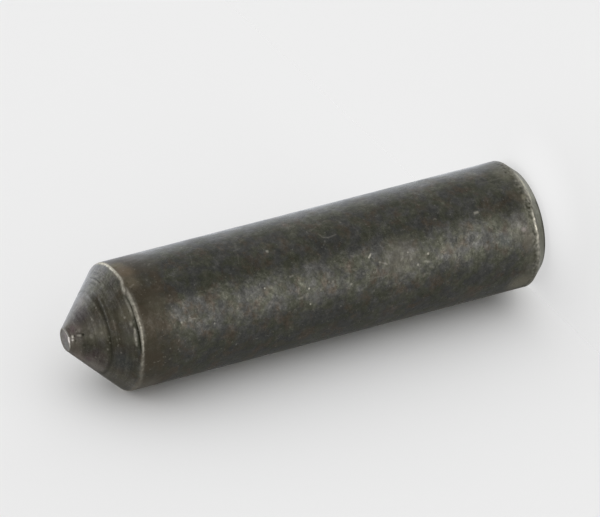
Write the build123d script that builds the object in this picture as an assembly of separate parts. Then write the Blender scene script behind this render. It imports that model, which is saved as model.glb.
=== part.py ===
from build123d import *

import os
from math import cos, radians, sin, tan

# A shear pin turned in one piece from quarter-inch bar. It stands on its flat, chamfered end,
# with the centre of that face at the origin, and its conical point is up, along +Z.

# Driving sizes, in millimetres and degrees
shank_diameter = 6.35
overall_length = 24.7
point_angle = 90.0  # the full angle of the cone
tip_flat_diameter = 1.16  # the point is blunted to a small flat
end_chamfer = 0.6  # at 45 degrees
shoulder_radius = 0.3  # the worn edge between the shank and the cone
chamfer_edge_radius = 0.08
tip_edge_radius = 0.06

# The shallow ring that the turning tool left part of the way up the cone
tool_mark_height = 1.13  # along the axis, from the shoulder
tool_mark_width = 0.28
tool_mark_depth = 0.05

# What follows from them
shank_radius = shank_diameter / 2
tip_flat_radius = tip_flat_diameter / 2
half_angle = radians(point_angle / 2)
point_length = (shank_radius - tip_flat_radius) / tan(half_angle)
shoulder_height = overall_length - point_length


def turned_outline():
    """Half of the pin's section, from the axis outwards, with its edges rounded."""
    flat_end_edge = (shank_radius - end_chamfer, 0)
    chamfer_top = (shank_radius, end_chamfer)
    shoulder = (shank_radius, shoulder_height)
    tip_edge = (tip_flat_radius, overall_length)
    with BuildSketch(Plane.XZ) as outline:
        with BuildLine():
            Polyline((0, 0), flat_end_edge, chamfer_top, shoulder, tip_edge, (0, overall_length), close=True)
        make_face()
        for corner, radius in (
            (flat_end_edge, chamfer_edge_radius),
            (chamfer_top, chamfer_edge_radius),
            (shoulder, shoulder_radius),
            (tip_edge, tip_edge_radius),
        ):
            fillet(outline.vertices().sort_by_distance(Vector(*corner))[0], radius)
    return outline.sketch


def tool_mark_section():
    """The section of the ring cut, a narrow V whose middle lies on the slope of the cone."""
    middle_radius = shank_radius - tool_mark_height * tan(half_angle)
    middle_height = shoulder_height + tool_mark_height
    along_r, along_z = -sin(half_angle) * tool_mark_width / 2, cos(half_angle) * tool_mark_width / 2
    out_r, out_z = cos(half_angle) * tool_mark_depth, sin(half_angle) * tool_mark_depth
    with BuildSketch(Plane.XZ) as section:
        with BuildLine():
            Polyline(
                (middle_radius + along_r, middle_height + along_z),
                (middle_radius + out_r, middle_height + out_z),
                (middle_radius - along_r, middle_height - along_z),
                (middle_radius - out_r, middle_height - out_z),
                close=True,
            )
        make_face()
    return section.sketch


def shear_pin():
    turned = revolve(turned_outline(), Axis.Z)
    tool_mark = revolve(tool_mark_section(), Axis.Z)
    return turned - tool_mark


os.makedirs("parts", exist_ok=True)
export_step(shear_pin(), "parts/shear_pin.step")
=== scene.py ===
from math import ceil, cos, pi, radians, sin, tan
from types import SimpleNamespace

import bpy
import numpy as np
from mathutils import Matrix, Vector, noise


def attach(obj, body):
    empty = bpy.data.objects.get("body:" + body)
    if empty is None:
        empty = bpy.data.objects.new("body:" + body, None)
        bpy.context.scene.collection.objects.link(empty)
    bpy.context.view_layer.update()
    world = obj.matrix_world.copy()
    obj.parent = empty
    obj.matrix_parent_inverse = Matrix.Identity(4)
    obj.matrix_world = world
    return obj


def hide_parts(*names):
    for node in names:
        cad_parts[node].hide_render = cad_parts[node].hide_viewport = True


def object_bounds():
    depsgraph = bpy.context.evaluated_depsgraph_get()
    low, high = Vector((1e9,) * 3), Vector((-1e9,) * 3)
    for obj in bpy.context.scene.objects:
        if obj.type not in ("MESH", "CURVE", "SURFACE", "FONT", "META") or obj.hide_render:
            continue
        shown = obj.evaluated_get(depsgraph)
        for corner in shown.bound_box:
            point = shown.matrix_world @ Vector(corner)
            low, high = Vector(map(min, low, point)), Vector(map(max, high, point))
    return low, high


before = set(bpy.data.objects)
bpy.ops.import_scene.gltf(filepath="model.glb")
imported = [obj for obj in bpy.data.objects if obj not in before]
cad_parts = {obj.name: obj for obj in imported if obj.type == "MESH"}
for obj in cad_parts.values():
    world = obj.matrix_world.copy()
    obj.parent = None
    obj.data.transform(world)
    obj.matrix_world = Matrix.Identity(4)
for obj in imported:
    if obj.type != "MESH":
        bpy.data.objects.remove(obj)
cad_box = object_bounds()

# The shear pin stands on its flat end, at z = 0, with its point up. Lengths are in millimetres
# until they reach Blender, which takes metres. Angles round the pin are in degrees from the side
# that faces the main camera, counter-clockwise seen from the point.
MM = 0.001
low, high = cad_box
shank_radius = (high.x - low.x) / 2 / MM
overall_length = high.z / MM

# The turned form. The sizes are the solid's, but for the chamfer's width: the photograph shows the
# end face a little wider.
end_chamfer_height = 0.6
end_chamfer_width = 0.53
tip_flat_radius = 0.58
shoulder_radius = 0.3
chamfer_edge_radius = 0.08
tip_edge_radius = 0.06
shoulder_height = overall_length - (shank_radius - tip_flat_radius)  # the cone is at 45 degrees
tool_mark_height = shoulder_height + 1.13
tool_mark_width = 0.28
tool_mark_depth = 0.05

# How far the surface waves, and how far each kind of wear lifts or sinks it
skin_waves = 0.0035
turned_waves, turned_pitch = 0.0012, 0.29
shoulder_burr, tool_mark_burr, edge_burr = 0.010, 0.008, 0.005
crumb_height = 0.004
crevice_depth, pit_depth = 0.030, 0.008
flat_end_hollow = 0.004

# The main camera, as the photograph was taken: from the point's side, rolled so that the pin lies
# down
camera_azimuth = -11.63
camera_elevation = 23.22
camera_roll = -104.56
camera_distance = 370.63 * MM
camera_lens = 459.3
camera_aim = Vector((0.912, -0.188, 11.829)) * MM
FACING_CAMERA = radians(camera_azimuth - 90)

# The side that the photograph's table is on: the pin touches it all along the shank
table_azimuth = 45.0

# How bright the background is, how much of the floor's brightness the pin can shade, and how white
# the floor is under its lamp
PALE = 0.855
FLOOR_SHADED = 0.27
FLOOR_MATT = 0.05

# Points in each ring of the pin's mesh
STEPS_ROUND = 300


# Wear. Each stroke runs round the pin through stations of (angle, height, half width, strength).

# The shoulder's edge, rubbed to bare steel: a bright line at the top of the photograph that runs out
# on the cone's side of the edge, a duller one below it, and remnants beyond the crevice on the cone
shoulder_lines = [
    [
        (26, 22.25, 0.035, 0.0), (30, 22.21, 0.06, 0.75), (36, 22.15, 0.06, 0.55),
        (42, 22.08, 0.065, 0.75), (50, 22.095, 0.055, 1.0), (60, 22.11, 0.05, 1.5),
        (70, 22.10, 0.055, 1.2), (85, 22.11, 0.06, 1.2), (105, 22.10, 0.06, 0.4),
        (125, 22.13, 0.07, 0.6), (150, 22.08, 0.07, 0.3), (180, 22.10, 0.07, 0.4),
    ],
    [
        (-180, 22.10, 0.07, 0.4), (-150, 22.14, 0.08, 0.25), (-120, 22.07, 0.07, 0.5),
        (-95, 22.10, 0.09, 0.2), (-70, 22.06, 0.14, 0.10), (-60, 22.07, 0.10, 0.12),
        (-50, 22.13, 0.10, 0.14), (-40, 22.12, 0.07, 0.34), (-34, 22.10, 0.06, 0.32),
        (-28, 22.09, 0.055, 0.38), (-20, 22.08, 0.06, 0.55), (-14, 22.06, 0.07, 0.40),
        (-8, 22.05, 0.08, 0.40), (0, 22.08, 0.085, 0.50), (6, 22.09, 0.085, 0.42),
        (12, 22.07, 0.09, 0.42), (20, 22.09, 0.09, 0.50), (27, 22.09, 0.08, 0.42),
        (31, 22.08, 0.06, 0.18), (35, 22.08, 0.04, 0.0),
    ],
    [
        (-24, 22.31, 0.03, 0.0), (-20, 22.32, 0.045, 0.40), (-12, 22.31, 0.05, 0.45),
        (-7, 22.30, 0.04, 0.40), (-4, 22.31, 0.03, 0.0),
    ],
    [
        (-4, 22.37, 0.04, 0.0), (-1, 22.39, 0.05, 0.25), (3, 22.38, 0.04, 0.0),
    ],
    [
        (4, 22.26, 0.03, 0.0), (9, 22.26, 0.045, 0.28), (16, 22.27, 0.05, 0.24),
        (23, 22.29, 0.04, 0.16), (27, 22.30, 0.03, 0.0),
    ],
]
# The crevice between them
shoulder_crevice = [
    (-32, 22.17, 0.03, 0.0), (-27, 22.175, 0.03, 0.55), (-20, 22.18, 0.038, 0.95),
    (-15, 22.18, 0.028, 0.70), (-9, 22.185, 0.034, 0.95), (-3, 22.19, 0.024, 0.60),
    (2, 22.195, 0.028, 0.75), (7, 22.195, 0.024, 0.45), (12, 22.195, 0.026, 0.60),
    (19, 22.20, 0.024, 0.45), (25, 22.24, 0.03, 0.0),
]
# The rim of the tip's flat, and a rub beside it. Above the tip's height a stroke lies on the flat.
# Near angle 0 the polish patch below whitens them into a painted glint
tip_line = [
    (-180, 24.76, 0.03, 0.4), (-120, 24.76, 0.03, 0.25), (-80, 24.72, 0.03, 0.05),
    (-56, 24.74, 0.04, 0.15), (-50, 24.76, 0.06, 0.45), (-36, 24.79, 0.06, 0.50),
    (-29, 24.81, 0.05, 0.40), (-23, 24.82, 0.07, 1.2), (-8, 24.81, 0.08, 1.6),
    (5, 24.80, 0.08, 1.4), (11, 24.81, 0.035, 0.6), (30, 24.83, 0.03, 0.65), (52, 24.83, 0.03, 0.7),
    (84, 24.74, 0.03, 0.5), (130, 24.76, 0.03, 0.5), (180, 24.76, 0.03, 0.4),
]
tip_rub = [
    (-40, 24.66, 0.03, 0.02), (-20, 24.62, 0.035, 0.10), (-14, 24.61, 0.03, 0.15),
    (-11, 24.60, 0.036, 0.80), (-8, 24.60, 0.036, 0.70), (-4, 24.59, 0.03, 0.12),
    (1, 24.57, 0.036, 0.80), (6, 24.57, 0.036, 0.75), (11, 24.57, 0.03, 0.12),
    (30, 24.56, 0.03, 0.05),
]
# The chamfer's upper edge
chamfer_line = [
    (-180, 0.66, 0.05, 0.3), (-120, 0.62, 0.06, 0.5), (-80, 0.66, 0.07, 0.12),
    (-50, 0.58, 0.11, 0.24), (-36, 0.63, 0.12, 0.32), (-28, 0.66, 0.12, 0.36),
    (-22, 0.65, 0.12, 0.36), (-16, 0.65, 0.08, 0.46), (-10, 0.665, 0.055, 0.65),
    (0, 0.67, 0.055, 0.70), (3, 0.68, 0.06, 0.50), (8, 0.62, 0.10, 0.34), (16, 0.62, 0.11, 0.36),
    (24, 0.58, 0.13, 0.34), (34, 0.57, 0.13, 0.45), (46, 0.60, 0.12, 0.40), (60, 0.66, 0.08, 0.16),
    (110, 0.60, 0.06, 0.5), (150, 0.66, 0.05, 0.3), (180, 0.66, 0.05, 0.3),
]
# How the tool mark runs round the cone, as stations of (angle, shift in height, share of its depth)
tool_mark_line = [
    (-180, 0, 0.5), (-120, 0, 0.8), (-60, 0, 0.45), (-30, 0.01, 0.9),
    (0, 0.02, 1.0), (20, 0, 0.9), (38, -0.02, 0.9), (48, -0.03, 0.35),
    (90, 0, 0.3), (140, 0, 0.7), (180, 0, 0.5),
]

# Small dents as (angle, height, radius, depth)
dents = [
    (0, 24.20, 0.10, 0.035), (9, 24.45, 0.07, 0.012), (50, 0.99, 0.14, 0.02),
    (16, 0.66, 0.08, 0.03), (9, 0.78, 0.09, 0.03), (-25, 0.85, 0.12, 0.03), (33, 21.85, 0.16, 0.02),
    (28, 21.72, 0.10, 0.012), (-88, 23.35, 0.12, 0.03), (-45, 0.75, 0.10, 0.02),
    (-60, 0.62, 0.08, 0.02), (35, 0.66, 0.10, 0.02), (120, 0.70, 0.12, 0.03),
    (160, 22.0, 0.15, 0.02), (-140, 21.9, 0.12, 0.02), (-150, 0.65, 0.10, 0.03),
    (128, 12.4, 0.22, 0.012), (-131, 7.1, 0.18, 0.012), (171, 16.8, 0.20, 0.012),
    (96, 5.2, 0.20, 0.010),
]


# Geometry


def rounded(corners):
    """Points along an outline of straight runs.

    Each corner is (radius, height, rounding, spacing of the next run).
    """
    arc_spacing = 0.022
    points = []
    last = len(corners) - 1
    for i, (r, z, rounding, spacing) in enumerate(corners):
        here = Vector((r, z))
        if 0 < i < last and rounding:
            to_back = (Vector(corners[i - 1][:2]) - here).normalized()
            to_next = (Vector(corners[i + 1][:2]) - here).normalized()
            half_turn = (pi - to_back.angle(to_next)) / 2
            reach = rounding * tan(half_turn)
            middle = here + (to_back + to_next).normalized() * (rounding / cos(half_turn))
            start, end = here + to_back * reach, here + to_next * reach
            steps = max(4, ceil(rounding * 2 * half_turn / arc_spacing))
            spoke = start - middle
            sweep = 2 * half_turn * (1 if spoke.cross(end - middle) > 0 else -1)
            arc = [middle + Matrix.Rotation(sweep * k / steps, 2) @ spoke for k in range(steps + 1)]
        else:
            arc = [here]
            end = here
        points += arc
        if i < last:
            after = Vector(corners[i + 1][:2])
            back = (here - after).normalized()
            turn = corners[i + 1][2]
            if i + 1 < last and turn:
                onwards = (Vector(corners[i + 2][:2]) - after).normalized()
                after = after + back * (turn * tan((pi - back.angle(onwards)) / 2))
            steps = max(2, ceil((after - end).length / spacing))
            points += [end.lerp(after, k / steps) for k in range(1, steps)]
    return points


def pin_outline():
    """The pin's half section, from the middle of the flat end to the middle of the tip."""
    fine_above_chamfer = 1.1
    fine_above_shoulder = shoulder_height + 0.4
    return rounded([
        (0.0, 0.0, 0, 0.21),
        (shank_radius - end_chamfer_width, 0.0, chamfer_edge_radius, 0.045),
        (shank_radius, end_chamfer_height, chamfer_edge_radius, 0.04),
        (shank_radius, fine_above_chamfer, 0, 0.137),
        (shank_radius, shoulder_height, shoulder_radius, 0.025),
        (shank_radius - (fine_above_shoulder - shoulder_height), fine_above_shoulder, 0, 0.05),
        (tip_flat_radius, overall_length, tip_edge_radius, 0.03),
        (0.0, overall_length, 0, 0.1),
    ])


def stroke(stations, angle, height):
    """How strongly a stroke marks each point: its strength on its middle line, less to both sides."""
    angles, heights, widths, strengths = zip(*stations)
    middle = np.interp(angle, angles, heights)
    width = np.interp(angle, angles, widths)
    return np.interp(angle, angles, strengths) * np.exp(-(((height - middle) / width) ** 2))


def tool_mark(angle, height):
    """The ring cut by the tool on the cone: how far it lifts the surface, and how deep it looks.

    A low burr stands along both of its sides. Its widths lie along the cone's side.
    """
    burr_place, burr_width = 0.62 * tool_mark_width, 0.05
    angles, shifts, shares = zip(*tool_mark_line)
    off_middle = (height - tool_mark_height - np.interp(angle, angles, shifts)) * 2**0.5
    share = np.interp(angle, angles, shares)
    cut = np.clip(1 - np.abs(off_middle) / (tool_mark_width / 2), 0, 1)
    burr = np.exp(-(((np.abs(off_middle) - burr_place) / burr_width) ** 2))
    return share * (tool_mark_burr * burr - tool_mark_depth * cut), share * cut


def on_surface(angle, height):
    """The surface's point at an angle and height. Above the tip's height it lies on the flat."""
    below_chamfer = 1 - height / end_chamfer_height
    r = min(
        shank_radius,
        shank_radius - (height - shoulder_height),
        shank_radius - end_chamfer_width * below_chamfer,
    )
    a = FACING_CAMERA + radians(angle)
    return np.array((r * cos(a), r * sin(a), min(height, overall_length)))


def dented(points):
    """How deep the dents are at each point. Each has a slight rim."""
    depth = np.zeros(len(points))
    for angle, height, radius, deep in dents:
        away = np.linalg.norm(points - on_surface(angle, height), axis=1) / radius
        depth += deep * (1 - 0.9 * away**2) * np.exp(-(away**2))
    return depth


def waves(points, size, seed):
    """Smooth noise from -1 to 1, whose bumps are about the given size."""
    shift = Vector((seed * 17.3, seed * 5.1, seed * 9.7))
    return np.array([noise.noise(Vector(p) / size + shift) for p in points])


def pitted_strip(points, height):
    """Past the chamfer's edge the skin is pitted, with crumbs of bare steel between the pits."""
    strip_middle, strip_half_width = 0.80, 0.15
    strip = np.exp(-(((height - strip_middle) / strip_half_width) ** 2))
    lumps = waves(points, 0.13, 4)
    pits = strip * np.clip((-lumps - 0.16) / 0.2, 0, 1)
    crumbs = strip * np.clip((lumps - 0.16) / 0.2, 0, 1)
    return pits, crumbs


def worn_edges(surface):
    """How worn the rims of the tip and of the chamfer are. The chamfer's is crumbling."""
    flat_from = overall_length - 0.1
    inwards = np.where(surface.height > flat_from, np.clip(tip_flat_radius - surface.r, 0, None), 0)
    over_tip = surface.height + inwards
    tip = [stroke(line, surface.angle, over_tip) for line in (tip_line, tip_rub)]
    crumbling = np.clip(1 + 1.5 * waves(surface.points, 0.14, 5), 0, 2)
    return np.max([*tip, stroke(chamfer_line, surface.angle, surface.height) * crumbling], axis=0)


def unworn_surface():
    """The surface ring by ring, without the middle points of its two ends, whose heights come last."""
    outline = np.array([tuple(p) for p in pin_outline()])
    along = np.gradient(outline, axis=0)
    along /= np.linalg.norm(along, axis=1)[:, None]
    turns = np.arange(STEPS_ROUND) / STEPS_ROUND * 360 - 180
    angle = np.tile(turns, len(outline) - 2)
    r, height = np.repeat(outline[1:-1], STEPS_ROUND, axis=0).T
    along_r, along_z = np.repeat(along[1:-1], STEPS_ROUND, axis=0).T
    a = FACING_CAMERA + np.radians(angle)
    points = np.column_stack((r * np.cos(a), r * np.sin(a), height))
    outwards = np.column_stack((along_z * np.cos(a), along_z * np.sin(a), -along_r))
    ends = outline[[0, -1], 1]
    return SimpleNamespace(
        points=points, outwards=outwards, angle=angle, r=r, height=height, ends=ends
    )


def wear(surface):
    """How far the wear lifts each point of the surface, how bare it is, and its grime and painted
    shade.
    """
    points, angle, height = surface.points, surface.angle, surface.height
    shoulder = np.max([stroke(line, angle, height) for line in shoulder_lines], axis=0)
    crevice = stroke(shoulder_crevice, angle, height)
    mark, cut = tool_mark(angle, height)
    edges = worn_edges(surface)
    pits, crumbs = pitted_strip(points, height)
    cone = np.clip((height - shoulder_height - 0.1) / 0.2, 0, 1)
    turned = np.sin(height * 2 * pi / turned_pitch + 2.2 * waves(points, 1.9, 3))

    lift = skin_waves * waves(points, 1.1, 1) - pit_depth * pits
    lift += turned_waves * cone * turned
    lift += shoulder_burr * shoulder - crevice_depth * crevice + mark - dented(points)
    ragged = waves(points, 0.16, 2)
    lift += edge_burr * edges + crumb_height * ragged * np.maximum(shoulder, edges)
    # No point of the flat end comes below the floor
    flat_end = surface.outwards[:, 2] < -0.99
    lift[flat_end] = np.minimum(lift[flat_end] - flat_end_hollow, 0)

    clear_of_crevice = 1 - np.clip(1.6 * crevice, 0, 1)
    bare = np.maximum(np.maximum(shoulder, edges) * clear_of_crevice, 0.24 * crumbs)
    # Grime and painted shade: darker in the crevice, in the tool mark's cut and in the pits
    grime_and_shade = np.max([np.clip(1.4 * crevice, 0, 1), 0.8 * cut, 0.55 * pits], axis=0)
    return lift, bare, grime_and_shade


def pin_mesh():
    """The whole pin as one closed mesh, with how bare each point is and its grime and painted shade.
    """
    surface = unworn_surface()
    lift, bare, grime_and_shade = wear(surface)
    points = (surface.points + surface.outwards * lift[:, None]) * MM
    ends = [(0, 0, height) for height in surface.ends * MM]
    verts = [tuple(p) for p in points] + ends
    bottom, top = len(points), len(points) + 1
    last_ring = len(points) - STEPS_ROUND
    faces = []
    for ring in range(0, last_ring, STEPS_ROUND):
        above = ring + STEPS_ROUND
        for k in range(STEPS_ROUND):
            n = (k + 1) % STEPS_ROUND
            faces.append((ring + k, ring + n, above + n, above + k))
    for k in range(STEPS_ROUND):
        n = (k + 1) % STEPS_ROUND
        faces.append((bottom, n, k))
        faces.append((top, last_ring + k, last_ring + n))
    mesh = bpy.data.meshes.new("shear_pin_turned")
    mesh.from_pydata(verts, [], faces)
    mesh.shade_smooth()
    for name, values in (("bare", bare), ("grime_and_shade", grime_and_shade)):
        layer = mesh.attributes.new(name, "FLOAT", "POINT")
        layer.data.foreach_set("value", np.append(values, (0, 0)).astype(np.float32))
    mesh.update()
    return mesh


# Shader helpers


def add(tree, kind, inputs=None, **settings):
    """A new node, its settings set, and its inputs filled with values or linked to sockets."""
    made = tree.nodes.new(kind)
    for name, value in settings.items():
        setattr(made, name, value)
    for name, value in (inputs or {}).items():
        if isinstance(value, bpy.types.NodeSocket):
            tree.links.new(value, made.inputs[name])
        else:
            made.inputs[name].default_value = value
    return made


def maths(tree, operation, *values):
    return add(tree, "ShaderNodeMath", dict(enumerate(values)), operation=operation).outputs[0]


def vector(tree, operation, *values):
    """A vector sum. Dot products, lengths and distances come out as one number."""
    made = add(tree, "ShaderNodeVectorMath", dict(enumerate(values)), operation=operation)
    return made.outputs[1 if operation in ("DOT_PRODUCT", "DISTANCE", "LENGTH") else 0]


def scaled(tree, first, share):
    inputs = {"Vector": first, "Scale": share}
    return add(tree, "ShaderNodeVectorMath", inputs, operation="SCALE").outputs[0]


def fade(tree, value, start, end, low=0.0, high=1.0):
    """From low, where the value is at start, smoothly to high, where it is at end."""
    inputs = {0: value, 1: start, 2: end, 3: low, 4: high}
    return add(tree, "ShaderNodeMapRange", inputs, interpolation_type="SMOOTHSTEP").outputs[0]


def mix(tree, share, first, second):
    """A blend of two colours, which are a Mix node's inputs 6 and 7 and its output 2."""
    made = add(tree, "ShaderNodeMix", data_type="RGBA")
    for socket, value in ((0, share), (6, first), (7, second)):
        if isinstance(value, bpy.types.NodeSocket):
            tree.links.new(value, made.inputs[socket])
        else:
            made.inputs[socket].default_value = (*value, 1) if hasattr(value, "__len__") else value
    return made.outputs[2]


def grain(tree, place, stretch, seed, detail=2.0, roughness=0.55):
    """Noise about 0.5. The stretch gives how many bumps there are in a millimetre along x, y and z."""
    moved = vector(tree, "MULTIPLY_ADD", place, stretch, (seed * 7.31, seed * 3.77, seed * 1.93))
    inputs = {"Vector": moved, "Scale": 1.0, "Detail": detail, "Roughness": roughness}
    return add(tree, "ShaderNodeTexNoise", inputs).outputs[0]


def ramp(tree, value, stops):
    """A grey level by a value from 0 to 1, through stops of (value, level)."""
    made = add(tree, "ShaderNodeValToRGB", {0: value})
    elements = made.color_ramp.elements
    while len(elements) > 1:
        elements.remove(elements[-1])
    for i, (place, level) in enumerate(stops):
        element = elements[0] if i == 0 else elements.new(place)
        element.position = place
        element.color = (level, level, level, 1)
    return made.outputs[0]


def new_material(name):
    material = bpy.data.materials.new(name)
    material.use_nodes = True
    material.node_tree.nodes.clear()
    return material, material.node_tree


def finish_tree(tree, surface):
    out = add(tree, "ShaderNodeOutputMaterial")
    tree.links.new(surface, out.inputs["Surface"])


# Blackened steel

# Colours of the finish: plain, in its patches, and in the zones along the pin
plain_black = (0.0198, 0.021, 0.0198)
olive_black = (0.0210, 0.0228, 0.0145)
oily_brown = (0.032, 0.0245, 0.0155)
cone_black = (0.032, 0.0265, 0.0165)
shoulder_brown = (0.043, 0.036, 0.023)
rubbed_olive = (0.058, 0.056, 0.039)
end_olive = (0.079, 0.080, 0.051)
tip_grey = (0.076, 0.062, 0.052)
# The tints of its shine
plain_tint, olive_tint = (1.0, 0.98, 0.93), (0.98, 0.98, 0.80)
brown_tint, end_tint = (1.0, 0.89, 0.77), (0.98, 0.99, 0.83)
# What lies in it and under it: grime, whose black also paints shade, and bare steel
grime_and_shade_black = (0.012, 0.0115, 0.005)
bare_steel = (0.57, 0.545, 0.467)

# Rubs and nicks in the finish, each from one (angle, height) to another, with its half width and
# its strength
scratches = [
    (-4.5, 7.85, -7.2, 8.12, 0.07, 0.096), (-7, 8.85, -3.6, 9.20, 0.06, 0.18),
    (5.2, 9.54, 2.4, 9.68, 0.06, 0.48), (-16.5, 9.20, -15.6, 9.58, 0.05, 0.084),
    (-6, 10.50, -3.5, 10.67, 0.06, 0.096), (-7, 12.87, -2, 12.80, 0.07, 0.072),
    (-19, 13.32, -15, 13.28, 0.07, 0.084), (-16.5, 13.52, -16.8, 13.68, 0.08, 0.15),
    (-5, 13.50, -1, 13.52, 0.06, 0.072), (-12.5, 13.68, -8.5, 13.64, 0.06, 0.084),
    (4, 13.76, 3.6, 13.92, 0.06, 0.17), (1, 17.52, 5, 17.50, 0.06, 0.096),
    (-14.5, 18.42, -14.2, 18.75, 0.06, 0.06), (-11.2, 19.00, -10, 19.35, 0.04, 0.14),
    (-10, 19.35, -8.4, 19.50, 0.04, 0.096), (-3.8, 20.06, -3, 20.24, 0.07, 0.072),
    (-7, 20.85, -3, 20.97, 0.06, 0.048), (-13, 6.85, -14.6, 6.60, 0.07, 0.18),
    (-19.2, 6.58, -20.4, 6.40, 0.07, 0.084), (-9.8, 5.55, -10.6, 5.75, 0.06, 0.096),
    (-2, 2.58, -4.2, 2.70, 0.06, 0.048), (30.6, 10.88, 29.4, 11.30, 0.05, 0.10),
    (29.4, 11.30, 31, 11.56, 0.05, 0.14), (31, 11.56, 35.6, 11.68, 0.05, 0.12),
    (44, 11.60, 41, 11.98, 0.06, 0.06), (57, 12.78, 47.5, 12.98, 0.06, 0.05),
    (49, 15.80, 43.5, 15.94, 0.06, 0.06), (41.8, 15.80, 41, 16.10, 0.07, 0.06),
    (36, 16.02, 27, 16.20, 0.05, 0.05), (49, 18.22, 39, 18.40, 0.04, 0.05),
    (24.5, 9.18, 19, 9.34, 0.05, 0.05), (52, 20.30, 50, 20.42, 0.07, 0.08),
    (45.5, 0.90, 45.5, 2.60, 0.06, 0.05), (53, 1.04, 47, 1.20, 0.05, 0.07),
    (17.4, 3.46, 17, 3.60, 0.09, 0.33), (-4, 9.88, -9, 9.92, 0.05, 0.048),
    (27, 23.70, 20, 23.66, 0.05, 0.12), (18, 24.30, 12, 24.28, 0.05, 0.10),
    (3.5, 0.98, -3.5, 1.02, 0.05, 0.08), (-6, 0.95, -15, 0.98, 0.06, 0.06),
    (22, 0.86, 16, 0.88, 0.08, 0.12), (46, 0.52, 32, 0.46, 0.15, 0.62),
    (32, 0.46, 19, 0.47, 0.14, 0.52), (19, 0.47, 13, 0.50, 0.09, 0.22),
    (14, 0.98, 10, 0.96, 0.07, 0.10), (33, 21.66, 31.5, 21.86, 0.06, 0.10),
    (86, 22.42, 74, 22.43, 0.04, 0.10), (84, 22.60, 72, 22.62, 0.04, 0.16),
    (80, 22.78, 66, 22.80, 0.04, 0.14), (72, 22.52, 60, 22.50, 0.04, 0.10),
    (88, 23.00, 76, 23.02, 0.04, 0.10), (3, 24.37, 0.6, 24.29, 0.07, 0.30),
    (6, 23.70, -4, 23.72, 0.06, 0.07),
]
# Specks as (angle, height, radius, strength)
specks = [
    (-4, 8.00, 1.30, 0.028), (18.5, 3.18, 0.08, 0.065), (0.5, 5.05, 0.09, 0.14),
    (-15.5, 4.99, 0.08, 0.16), (1, 5.95, 0.05, 0.14), (-7.2, 6.60, 0.09, 0.36),
    (-18.5, 6.12, 0.08, 0.091), (13, 6.50, 0.07, 0.078), (-1.5, 7.62, 0.07, 0.39),
    (-14.5, 7.22, 0.09, 0.29), (-22.5, 8.12, 0.07, 0.10), (-26.8, 8.31, 0.08, 0.10),
    (-10, 10.15, 0.09, 0.13), (-16, 10.88, 0.09, 0.21), (-10.2, 11.25, 0.08, 0.091),
    (-9.8, 11.80, 0.10, 0.12), (-9.2, 12.02, 0.08, 0.10), (-14.3, 12.50, 0.08, 0.13),
    (-10.4, 13.10, 0.06, 0.52), (-24.4, 13.14, 0.06, 0.39), (31.6, 14.55, 0.11, 0.35),
    (-0.3, 15.36, 0.06, 0.65), (-9, 15.30, 0.12, 0.052), (-17.8, 15.25, 0.10, 0.039),
    (13.4, 17.56, 0.10, 0.065), (4, 17.30, 0.06, 0.065), (8, 16.86, 0.07, 0.052),
    (-9.4, 16.92, 0.05, 0.078), (-19.2, 18.25, 0.07, 0.23), (-11, 19.94, 0.08, 0.26),
    (-21, 20.22, 0.07, 0.091), (-18.5, 21.06, 0.06, 0.078), (14.5, 20.18, 0.06, 0.14),
    (24, 8.14, 0.08, 0.06), (17, 8.40, 0.09, 0.039), (23.6, 11.70, 0.06, 0.08),
    (35, 17.20, 0.08, 0.05), (30, 17.48, 0.09, 0.07), (32.5, 1.76, 0.11, 0.07),
    # The speck at (31, 21.86) is a painted highlight on the dent there
    (45, 3.35, 0.12, 0.06), (31, 21.86, 0.08, 0.10), (6.4, 22.54, 0.08, 0.20),
    (0, 22.40, 0.05, 0.15), (-6.3, 23.90, 0.16, 0.12), (10.6, 23.91, 0.13, 0.08),
    (8, 23.46, 0.10, 0.10), (-4, 23.50, 0.10, 0.10), (35, 23.37, 0.07, 0.12),
    (-30, 23.37, 0.08, 0.14), (-32, 22.89, 0.07, 0.16), (-65, 22.33, 0.08, 0.14),
    (-15, 22.90, 0.07, 0.08), (15.5, 0.78, 0.07, 0.14), (20.3, 0.78, 0.06, 0.16),
    (6.4, 0.73, 0.05, 0.20), (-1, 0.88, 0.08, 0.08), (-1.7, 1.08, 0.08, 0.06),
    (-14.5, 1.13, 0.09, 0.06), (-18.8, 0.74, 0.06, 0.30), (-19.6, 0.96, 0.05, 0.12),
    (-26.3, 0.62, 0.07, 0.25), (-42.7, 0.75, 0.08, 0.15), (-47, 0.78, 0.06, 0.15),
    (46.8, 0.83, 0.10, 0.10), (46, 1.21, 0.08, 0.08), (16.8, 24.27, 0.11, 0.11),
    (23.4, 23.68, 0.07, 0.25),
]
# Dark strokes and specks, in the same forms: grime and pits, and painted shade beside the dents
# A dark band also runs along the chamfer's lower edge
dark_strokes = [
    (9.9, 24.40, 5.5, 24.25, 0.06, 0.45), (5.5, 24.25, 2, 24.20, 0.06, 0.50),
    (-41, 24.67, -50, 24.67, 0.03, 0.5), (48, 24.60, 31, 24.57, 0.04, 0.5),
    (88, 22.70, 74, 22.71, 0.04, 0.6), (74, 22.71, 60, 22.73, 0.04, 0.6),
    (84, 22.50, 70, 22.51, 0.03, 0.5), (80, 22.89, 66, 22.88, 0.03, 0.4),
    (56, 23.30, 46, 23.28, 0.12, 0.4), (60, 0.00, 36, 0.00, 0.07, 0.5),
    (36, 0.02, 14, 0.02, 0.09, 0.6), (14, 0.06, -10, 0.07, 0.18, 0.85),
    (-10, 0.07, -34, 0.07, 0.20, 0.85), (-34, 0.07, -56, 0.05, 0.19, 0.8),
    (100, 24.75, 140, 24.75, 0.07, 0.5), (140, 24.75, 180, 24.75, 0.07, 0.6),
    (180, 24.75, 220, 24.75, 0.07, 0.6), (220, 24.75, 260, 24.75, 0.07, 0.5),
]
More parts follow.
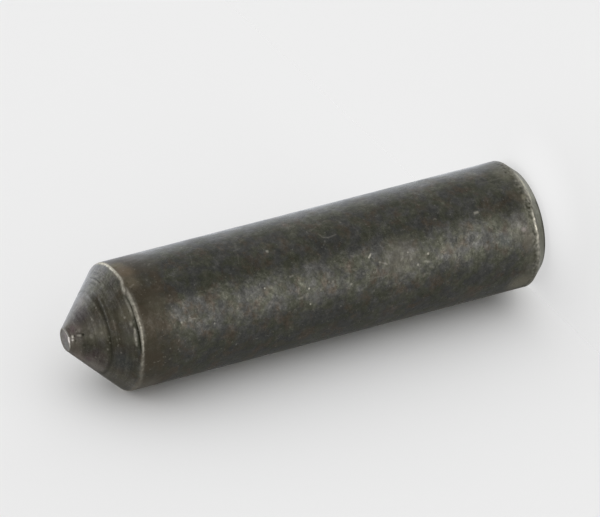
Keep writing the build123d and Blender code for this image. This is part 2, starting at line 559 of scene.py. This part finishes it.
dark_specks = [
    (3.7, 24.50, 0.055, 0.9), (-13.4, 24.49, 0.055, 0.7), (0.4, 24.18, 0.10, 1.0),
    (-6, 24.27, 0.06, 0.3), (20, 24.37, 0.07, 0.5), (14, 2.00, 0.95, 0.42), (4, 1.65, 0.45, 0.20),
    (9.4, 0.76, 0.08, 0.9), (13, 0.66, 0.06, 0.6), (-21.4, 0.86, 0.09, 0.5), (-7, 0.77, 0.05, 0.5),
    (-16, 0.70, 0.05, 0.5), (51, 0.99, 0.06, 0.8), (-24.7, 0.74, 0.05, 0.5), (-76, 1.04, 0.10, 0.7),
    (1, 0.80, 0.06, 0.4), (29, 21.84, 0.07, 0.5), (36, 21.93, 0.07, 0.4), (11, 22.33, 0.05, 0.6),
    (2, 22.27, 0.05, 0.6), (-22, 22.25, 0.05, 0.5),
]
# Stains in the finish as (angle, height, radius, colour)
stains = [
    (62, 21.80, 0.55, (0.085, 0.070, 0.036)), (50, 21.70, 0.75, (0.098, 0.074, 0.047)),
    (36, 21.72, 0.60, (0.080, 0.067, 0.044)), (-76, 21.60, 1.0, (0.062, 0.056, 0.042)),
    (10, 21.00, 0.8, (0.050, 0.044, 0.030)), (54, 20.50, 1.0, (0.041, 0.038, 0.030)),
    (-26, 21.60, 0.5, (0.037, 0.032, 0.021)), (-67, 1.4, 1.05, (0.090, 0.083, 0.058)),
    (52, 1.10, 0.8, (0.068, 0.066, 0.046)), (20, 0.80, 0.25, (0.100, 0.095, 0.060)),
    (-18, 1.05, 0.8, (0.076, 0.071, 0.054)), (-8, 1.7, 0.9, (0.048, 0.045, 0.036)),
    (-8, 1.36, 0.18, (0.170, 0.145, 0.138)), (-12, 2.45, 0.6, (0.028, 0.034, 0.035)),
    (-4, 8.0, 1.4, (0.048, 0.044, 0.034)), (10, 23.85, 0.9, (0.056, 0.050, 0.038)),
    (-4, 23.45, 0.5, (0.070, 0.064, 0.047)), (24, 24.34, 0.45, (0.092, 0.076, 0.064)),
    (10, 22.42, 0.7, (0.064, 0.057, 0.039)), (-15, 22.60, 0.5, (0.048, 0.046, 0.034)),
    (46, 22.45, 0.5, (0.011, 0.010, 0.007)), (74, 23.9, 1.2, (0.092, 0.088, 0.084)),
    (48, 24.0, 0.7, (0.033, 0.026, 0.0265)), (-52, 23.75, 0.9, (0.023, 0.0150, 0.0150)),
    (-45, 22.8, 0.9, (0.0190, 0.0205, 0.0200)), (-32, 24.12, 0.5, (0.020, 0.018, 0.011)),
    (-84, 23.75, 0.9, (0.080, 0.069, 0.059)), (-84, 24.3, 0.45, (0.098, 0.077, 0.066)),
    (-66, 24.0, 0.3, (0.050, 0.035, 0.034)), (30, 24.5, 0.3, (0.070, 0.048, 0.048)),
    (40, 25.02, 0.24, (0.092, 0.066, 0.066)), (-92, 25.02, 0.26, (0.070, 0.071, 0.060)),
    (43, 0.46, 0.36, (0.165, 0.170, 0.150)), (32, 0.44, 0.36, (0.165, 0.170, 0.140)),
    (22, 0.32, 0.42, (0.125, 0.128, 0.092)),
]
# Where the tip is polished and whitened past real steel, a painted glint: (angle, height, radius,
# colour)
polish_and_glint = (-8, 24.80, 0.36, (1.0, 0.927, 0.90))


def hidden_marks():
    """Marks for the sides that the photograph doesn't show, of the kinds and sizes that it shows."""
    draw = np.random.RandomState(11)
    angles, heights = (95, 265), (0.9, 21.8)
    stroke_count, spot_count = 9, 18
    strokes, spots = [], []
    for _ in range(stroke_count):
        angle, height = draw.uniform(*angles), draw.uniform(*heights)
        angle_2, height_2 = angle + draw.uniform(-7, 7), height + draw.uniform(-0.35, 0.35)
        half_width, strength = draw.uniform(0.04, 0.07), draw.uniform(0.05, 0.35)
        strokes.append((angle, height, angle_2, height_2, half_width, strength))
    for _ in range(spot_count):
        angle, height = draw.uniform(*angles), draw.uniform(*heights)
        spots.append((angle, height, draw.uniform(0.05, 0.10), draw.uniform(0.08, 0.5)))
    return strokes, spots


def highest(tree, first, second):
    """The higher of two values, or the second where there is no first one yet."""
    return second if first is None else maths(tree, "MAXIMUM", first, second)


def mark_mask(tree, place, strokes, spots):
    """Where the strokes and spots are, from 0 to their strength."""
    total = None
    for angle, height, angle_2, height_2, half_width, strength in strokes:
        start, end = on_surface(angle, height), on_surface(angle_2, height_2)
        along = end - start
        from_start = vector(tree, "SUBTRACT", place, tuple(start))
        share = vector(tree, "DOT_PRODUCT", from_start, tuple(along / (along @ along)))
        share = add(tree, "ShaderNodeClamp", {0: share}).outputs[0]
        nearest = scaled(tree, tuple(along), share)
        away = vector(tree, "DISTANCE", from_start, nearest)
        total = highest(tree, total, fade(tree, away, half_width * 1.3, 0.0, 0.0, strength))
    for angle, height, radius, strength in spots:
        away = vector(tree, "DISTANCE", place, tuple(on_surface(angle, height)))
        total = highest(tree, total, fade(tree, away, radius * 1.1, radius * 0.2, 0.0, strength))
    return total


def patch(tree, place, angle, height, radius):
    """A soft round patch on the surface, 1 in its middle and 0 outside the radius."""
    away = vector(tree, "DISTANCE", place, tuple(on_surface(angle, height)))
    return fade(tree, away, radius, 0.2 * radius)


def attribute(tree, name):
    return add(tree, "ShaderNodeAttribute", attribute_name=name).outputs["Fac"]


def off_middle(tree, noise_value):
    return maths(tree, "SUBTRACT", noise_value, 0.5)


def turning_rings(tree, place):
    """Noise in fine rings, as turning leaves on the cone, the chamfer and the flat end."""
    x, y, z = add(tree, "ShaderNodeSeparateXYZ", {0: place}).outputs
    radius = vector(tree, "LENGTH", vector(tree, "MULTIPLY", place, (1.0, 1.0, 0.0)))
    across_rings = maths(tree, "MULTIPLY_ADD", z, 1.6, maths(tree, "MULTIPLY", radius, -1.0))
    ring_place = add(tree, "ShaderNodeCombineXYZ", {0: x, 1: y, 2: across_rings}).outputs[0]
    return grain(tree, ring_place, (0.5, 0.5, 3.2), 1, detail=2.0, roughness=0.7), z


def pin_zones(tree, z):
    """Masks for the zones along the pin, each 1 in its zone and 0 outside it."""
    cone = fade(tree, z, shoulder_height + 0.05, shoulder_height + 0.3)
    end = fade(tree, z, end_chamfer_height, end_chamfer_height - 0.1)
    turned = maths(tree, "ADD", cone, end)
    below_shoulder = fade(tree, z, 19.6, 21.3)
    off_cone = fade(tree, z, shoulder_height + 0.15, shoulder_height - 0.05)
    by_shoulder = maths(tree, "MULTIPLY", below_shoulder, off_cone)
    above_end, off_chamfer = fade(tree, z, 1.7, 0.75), fade(tree, z, 0.5, 0.7)
    by_end = maths(tree, "MULTIPLY", above_end, off_chamfer)
    by_tip = fade(tree, z, overall_length - 0.7, overall_length - 0.25)
    return SimpleNamespace(
        cone=cone, end=end, turned=turned, by_shoulder=by_shoulder, by_end=by_end, by_tip=by_tip
    )


def skin_relief(tree, zones, pits, patches, coarse, rings):
    """The fine relief for the bump: pits, deeper in some patches than in others, and the rings."""
    pits_deep = fade(tree, patches, 0.35, 0.65, 0.010, 0.020)
    rings_deep = maths(tree, "MULTIPLY_ADD", zones.turned, 0.014, 0.001)
    height = maths(tree, "MULTIPLY", pits, pits_deep)
    height = maths(tree, "MULTIPLY_ADD", rings, rings_deep, height)
    return maths(tree, "MULTIPLY_ADD", coarse, 0.012, height)


def finish_shine(tree, place, z, zones, rings, grime_and_shade):
    """How strongly the finish shines, which changes from one spot to the next: a power of two."""
    spots = grain(tree, place, (2.9, 2.9, 3.1), 8, detail=3.0, roughness=0.85)
    clouds = grain(tree, place, (0.55, 0.55, 0.45), 9, detail=2.0)
    power = maths(tree, "MULTIPLY", off_middle(tree, spots), 4.9)
    power = maths(tree, "MULTIPLY_ADD", off_middle(tree, clouds), 2.6, power)
    ring_shine = maths(tree, "MULTIPLY", zones.turned, 3.5)
    power = maths(tree, "MULTIPLY_ADD", off_middle(tree, rings), ring_shine, power)
    power = maths(tree, "ADD", fade(tree, z, 1.0, 20.0, 0.20, -0.10), power)
    power = maths(tree, "MULTIPLY_ADD", zones.by_shoulder, -0.9, power)
    # Grime and painted shade dull the shine too
    power = maths(tree, "MULTIPLY_ADD", grime_and_shade, -1.6, power)
    power = maths(tree, "MULTIPLY_ADD", zones.end, -0.45, power)
    return maths(tree, "POWER", 2.0, power)


def bare_share(tree, place, marks, dark_marks, worn):
    """Where bare steel shows: on worn edges, in marks and in flecks all over."""
    ragged = grain(tree, place, (6.0, 6.0, 8.0), 5, detail=1.0)
    uneven = fade(tree, ragged, 0.3, 0.7, 0.6, 1.4)
    flecks = grain(tree, place, (6.5, 6.5, 6.5), 10, detail=1.0)
    fleck_mask = fade(tree, flecks, 0.66, 0.8, 0.0, 0.12)
    bare = maths(tree, "MULTIPLY", highest(tree, worn, marks), uneven)
    bare = maths(tree, "MULTIPLY", bare, maths(tree, "SUBTRACT", 1.0, dark_marks))
    return maths(tree, "MINIMUM", highest(tree, bare, fleck_mask), 1.0)


def finish_casts(tree, place, zones):
    """Masks for the patches in which the finish has an olive and an oily brown cast."""
    brown_patches = grain(tree, place, (1.1, 1.1, 1.3), 6, detail=4.0, roughness=0.68)
    olive_patches = grain(tree, place, (1.5, 1.5, 1.4), 7, detail=4.0, roughness=0.6)
    olive = fade(tree, olive_patches, 0.38, 0.62)
    more_brown = maths(tree, "MULTIPLY_ADD", zones.by_shoulder, 0.14, brown_patches)
    return olive, fade(tree, more_brown, 0.49, 0.70)


def finish_colour(tree, place, zones, olive, brown, grime_and_shade):
    """The blackened finish with its patches, zones and stains, and its grime and painted shade."""
    finish = mix(tree, olive, plain_black, olive_black)
    finish = mix(tree, brown, finish, oily_brown)
    for zone, share, colour in (
        (zones.cone, 0.7, cone_black),
        (zones.by_shoulder, 0.6, shoulder_brown),
        (zones.by_end, 0.75, rubbed_olive),
        (zones.end, 0.9, end_olive),
        (zones.by_tip, 0.7, tip_grey),
    ):
        finish = mix(tree, maths(tree, "MULTIPLY", zone, share), finish, colour)
    for angle, height, radius, colour in stains:
        finish = mix(tree, patch(tree, place, angle, height, radius), finish, colour)
    return mix(tree, grime_and_shade, finish, grime_and_shade_black)


def shine_tint(tree, zones, olive, brown, shine):
    tint = mix(tree, olive, plain_tint, olive_tint)
    tint = mix(tree, brown, tint, brown_tint)
    tint = mix(tree, zones.end, tint, end_tint)
    return scaled(tree, tint, shine)


def finish_roughness(tree, zones, patches, coarse, grime_and_shade):
    roughness = fade(tree, patches, 0.3, 0.7, 0.27, 0.34)
    roughness = maths(tree, "MULTIPLY_ADD", off_middle(tree, coarse), 0.25, roughness)
    roughness = maths(tree, "MULTIPLY_ADD", grime_and_shade, 0.3, roughness)
    by_edges = maths(tree, "ADD", zones.by_shoulder, zones.by_end)
    return maths(tree, "MULTIPLY_ADD", by_edges, 0.08, roughness)


def pin_material():
    material, tree = new_material("blackened_steel")
    place = scaled(tree, add(tree, "ShaderNodeTexCoord").outputs["Object"], 1 / MM)
    rings, z = turning_rings(tree, place)
    zones = pin_zones(tree, z)
    pits = grain(tree, place, (4.2, 4.2, 4.6), 2, detail=2.0, roughness=0.65)
    patches = grain(tree, place, (0.45, 0.45, 0.5), 3)
    coarse = grain(tree, place, (1.5, 1.5, 1.5), 4)
    hidden_strokes, hidden_spots = hidden_marks()
    marks = mark_mask(tree, place, scratches + hidden_strokes, specks + hidden_spots)
    dark_marks = mark_mask(tree, place, dark_strokes, dark_specks)
    worn = attribute(tree, "bare")
    # Grime and painted shade: the mesh's dark hollows, and the dark marks
    grime_and_shade = highest(tree, attribute(tree, "grime_and_shade"), dark_marks)

    relief = skin_relief(tree, zones, pits, patches, coarse, rings)
    shine = finish_shine(tree, place, z, zones, rings, grime_and_shade)
    bare = bare_share(tree, place, marks, dark_marks, worn)
    olive, brown = finish_casts(tree, place, zones)
    finish = finish_colour(tree, place, zones, olive, brown, grime_and_shade)
    # Bare steel, whitened in the polish patch on the tip into a painted glint
    angle, height, radius, polished_glint = polish_and_glint
    steel = mix(tree, patch(tree, place, angle, height, radius), bare_steel, polished_glint)
    colour = mix(tree, bare, finish, steel)
    tint = shine_tint(tree, zones, olive, brown, shine)
    roughness = finish_roughness(tree, zones, patches, coarse, grime_and_shade)
    bump_inputs = {"Strength": 1.0, "Distance": MM, "Height": relief}
    shader = add(tree, "ShaderNodeBsdfPrincipled", {
        "Base Color": colour,
        "Metallic": bare,
        "Roughness": roughness,
        "IOR": 1.56,
        "Specular Tint": tint,
        "Normal": add(tree, "ShaderNodeBump", bump_inputs).outputs[0],
    })
    finish_tree(tree, shader.outputs[0])
    return material


# The stage, lights and camera


def floor_material():
    """Mostly an even glow, with enough matt white under its lamp to take the pin's soft shadow.

    The glow is a little stronger round the pin's foot: painted light, which softens the pin's shadow
    there.
    """
    material, tree = new_material("floor")
    matt = add(tree, "ShaderNodeBsdfDiffuse", {"Color": (FLOOR_MATT, FLOOR_MATT, FLOOR_MATT, 1)})
    # Painted light: more glow round the pin's foot, centred a little towards the main camera
    towards_camera = FACING_CAMERA + radians(5)
    foot = (shank_radius * MM * cos(towards_camera), shank_radius * MM * sin(towards_camera), 0)
    away = vector(tree, "DISTANCE", add(tree, "ShaderNodeTexCoord").outputs["Object"], foot)
    far, near = 1.5 * shank_radius * MM, 0.2 * shank_radius * MM
    even_glow = PALE - FLOOR_SHADED
    strength = fade(tree, away, far, near, even_glow, even_glow + 0.075)
    glow = add(tree, "ShaderNodeEmission", {"Strength": strength})
    both = add(tree, "ShaderNodeAddShader", {0: matt.outputs[0], 1: glow.outputs[0]})
    finish_tree(tree, both.outputs[0])
    return material


def table_material():
    """Matt white, clear from behind. A painted glow lightens the pin's shadow a little near its ends.

    Painted shade: a weaker glow below the pin leaves the table a little darker below its far end.
    """
    material, tree = new_material("table")
    place = add(tree, "ShaderNodeTexCoord").outputs["Object"]
    height = add(tree, "ShaderNodeSeparateXYZ", {0: place}).outputs[2]
    a = radians(table_azimuth)
    aside = vector(tree, "DOT_PRODUCT", place, (cos(a) / MM, sin(a) / MM, 0))
    below, above = fade(tree, aside, 0.0, -5.0), fade(tree, aside, 0.0, 5.0)
    matt = add(tree, "ShaderNodeBsdfDiffuse", {"Color": (PALE, PALE, PALE, 1)})
    # Painted shade: the glow is a little weaker on the side below the pin
    strength = maths(tree, "MULTIPLY_ADD", below, -0.06, PALE)
    glow = add(tree, "ShaderNodeEmission", {"Strength": strength})
    # Painted light: more glow, so less of the pin's shadow, near the floor, more on the upper side,
    # and towards the tip
    near_floor = fade(tree, height, 2.6 * MM, 0.0, 0.0, 0.44)
    above_floor = maths(tree, "MULTIPLY", above, fade(tree, height, 7 * MM, 0.0, 0.0, 0.85))
    near_tip = fade(tree, height, 20 * MM, 27 * MM, 0.0, 0.25)
    faded = maths(tree, "ADD", highest(tree, near_floor, above_floor), near_tip)
    front = add(tree, "ShaderNodeMixShader", {0: faded, 1: matt.outputs[0], 2: glow.outputs[0]})
    behind = add(tree, "ShaderNodeNewGeometry").outputs["Backfacing"]
    clear = add(tree, "ShaderNodeBsdfTransparent")
    both = add(tree, "ShaderNodeMixShader", {0: behind, 1: front.outputs[0], 2: clear.outputs[0]})
    finish_tree(tree, both.outputs[0])
    return material


def stage_plane(name, corners, material):
    """A plane that only the camera sees: it neither lights the pin nor shows in its shine."""
    mesh = bpy.data.meshes.new(name)
    mesh.from_pydata(corners, [], [(0, 1, 2, 3)])
    mesh.materials.append(material)
    plane = bpy.data.objects.new(name, mesh)
    bpy.context.scene.collection.objects.link(plane)
    plane.visible_diffuse = False
    plane.visible_glossy = False
    plane.visible_shadow = False
    return plane


def make_floor():
    reach = 3.0
    corners = [(-reach, -reach, 0), (reach, -reach, 0), (reach, reach, 0), (-reach, reach, 0)]
    return stage_plane("floor", corners, floor_material())


def make_table():
    """The photograph's table, which stands upright here and touches the pin's side."""
    reach = 0.15
    a = radians(table_azimuth)
    away_from_pin = -Vector((sin(a), -cos(a), 0))
    along = Vector((cos(a), sin(a), 0))
    touch = away_from_pin * shank_radius * MM
    left, right = touch - along * reach, touch + along * reach
    rise = Vector((0, 0, reach))
    return stage_plane("table", [left, right, right + rise, left + rise], table_material())


def make_floor_lamp(floor):
    """A sun that lights the floor alone.

    It stands on the side that is up in the photograph, so that the pin's shadow falls below it there.
    """
    sun = bpy.data.lights.new("floor_sun", "SUN")
    elevation = radians(45)
    sun.angle = radians(100)
    sun.energy = (FLOOR_SHADED / FLOOR_MATT - 1) * pi / sin(elevation)
    lamp = bpy.data.objects.new("floor_sun", sun)
    a = FACING_CAMERA + radians(115)
    back = Vector((cos(a) * cos(elevation), sin(a) * cos(elevation), sin(elevation)))
    lamp.rotation_mode = "QUATERNION"
    lamp.rotation_quaternion = back.to_track_quat("Z", "Y")
    bpy.context.scene.collection.objects.link(lamp)
    lit = bpy.data.collections.new("lit_by_floor_sun")
    lit.objects.link(floor)
    lamp.light_linking.receiver_collection = lit
    return lamp


# The studio that the pin mirrors, as stops of (angle, brightness): level with the pin, further up,
# just below level and further down
level_stops = [
    (-180, 0.50), (-174, 0.28), (-166, 0.12), (-150, 0.12), (-125, 0.19), (-90, 0.30),
    (-60, 0.56), (-40, 1.45), (-24, 2.60), (-6, 2.55), (10, 1.95), (24, 0.60), (36, 0.16),
    (50, 0.42), (70, 0.65), (88, 0.51), (104, 0.66), (120, 1.08), (136, 1.10), (152, 1.05),
    (168, 1.45), (176, 0.95), (180, 0.5),
]
upper_stops = [
    (-180, 0.85), (-160, 0.45), (-135, 0.36), (-90, 0.44), (-45, 0.6), (-20, 0.8), (5, 0.95),
    (40, 0.47), (80, 0.42), (104, 0.7), (122, 1.4), (137, 1.95), (150, 1.9), (165, 1.4),
    (180, 0.85),
]
under_stops = [
    (-180, 0.4), (-165, 0.3), (-120, 0.3), (-60, 0.5), (0, 0.7), (60, 0.5), (120, 0.4),
    (165, 0.5), (180, 0.4),
]
lower_stops = [
    (-180, 0.8), (-165, 0.6), (-120, 0.4), (-60, 0.5), (0, 0.7), (60, 0.5), (120, 0.6),
    (150, 1.2), (168, 1.2), (180, 0.95),
]
# Between which heights, as the sine of the elevation, each further part takes over
surroundings_parts = [
    (-0.1, 0.3, upper_stops), (-0.42, -0.52, under_stops), (-0.6, -0.8, lower_stops),
]
# The studio's cast, a little warm, and cool on the side that is up in the photograph
warm_cast, cool_cast = (1.0, 0.99, 0.97), (0.965, 1.0, 1.07)


def surroundings(tree, share, stops):
    """The studio's brightness round the pin, by the share of a whole turn."""
    brightest = 3.0
    shade = ramp(tree, share, [((a + 180) / 360, level / brightest) for a, level in stops])
    return maths(tree, "MULTIPLY", shade, brightest)


def make_world():
    """A studio that the pin mirrors, a plain light for all else, and a pale background."""
    world = bpy.data.worlds.new("studio")
    bpy.context.scene.world = world
    world.use_nodes = True
    tree = world.node_tree
    tree.nodes.clear()
    ray = add(tree, "ShaderNodeLightPath")
    direction = add(tree, "ShaderNodeTexCoord").outputs["Generated"]
    turned = add(tree, "ShaderNodeVectorRotate", {
        "Vector": direction, "Axis": (0, 0, 1), "Angle": -FACING_CAMERA,
    }, rotation_type="AXIS_ANGLE").outputs[0]
    parts = add(tree, "ShaderNodeSeparateXYZ", {0: turned})
    angle = maths(tree, "ARCTAN2", parts.outputs[1], parts.outputs[0])
    share = maths(tree, "MULTIPLY_ADD", angle, 1 / (2 * pi), 0.5)
    rise = parts.outputs[2]
    glossy = surroundings(tree, share, level_stops)
    for start, end, stops in surroundings_parts:
        beyond = surroundings(tree, share, stops)
        taken_over = fade(tree, rise, start, end)
        glossy = add(tree, "ShaderNodeMix", {0: taken_over, 2: glossy, 3: beyond}).outputs[0]
    cool = maths(
        tree, "MULTIPLY", fade(tree, angle, radians(95), radians(150)), fade(tree, rise, -0.55, -0.42)
    )
    cast = mix(tree, cool, warm_cast, cool_cast)
    # The plain light is a little stronger from what is above and behind the pin in the photograph
    a = radians(table_azimuth)
    from_above = vector(tree, "DOT_PRODUCT", direction, (cos(a), sin(a), 0))
    plain = maths(tree, "MULTIPLY_ADD", from_above, 0.2, 1.0)
    is_glossy, is_camera = ray.outputs["Is Glossy Ray"], ray.outputs["Is Camera Ray"]
    other = add(tree, "ShaderNodeMix", {0: is_glossy, 2: plain, 3: glossy}).outputs[0]
    shown = add(tree, "ShaderNodeMix", {0: is_camera, 2: other, 3: PALE}).outputs[0]
    tinted = mix(tree, is_glossy, (1.0, 1.0, 1.0), cast)
    light = add(tree, "ShaderNodeBackground", {"Color": tinted, "Strength": shown})
    out = add(tree, "ShaderNodeOutputWorld")
    tree.links.new(light.outputs[0], out.inputs["Surface"])


def make_camera():
    lens = bpy.data.cameras.new("camera")
    lens.lens = camera_lens
    lens.sensor_width = 36
    camera = bpy.data.objects.new("camera", lens)
    a, e = radians(camera_azimuth), radians(camera_elevation)
    back = Vector((sin(a) * cos(e), -cos(a) * cos(e), sin(e)))
    camera.rotation_mode = "QUATERNION"
    level = back.to_track_quat("Z", "Y")
    camera.rotation_quaternion = level @ Matrix.Rotation(radians(camera_roll), 3, "Z").to_quaternion()
    camera.location = camera_aim + back * camera_distance
    lens.clip_start, lens.clip_end = 0.01, 10
    bpy.context.scene.collection.objects.link(camera)
    bpy.context.scene.camera = camera


def make_pin():
    mesh = pin_mesh()
    mesh.materials.append(pin_material())
    pin = bpy.data.objects.new("turned_pin", mesh)
    bpy.context.scene.collection.objects.link(pin)
    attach(pin, "root")
    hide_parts("shear_pin")
    return pin


make_pin()
floor = make_floor()
make_table()
make_floor_lamp(floor)
make_world()
make_camera()
bpy.context.scene.view_settings.view_transform = "Standard"
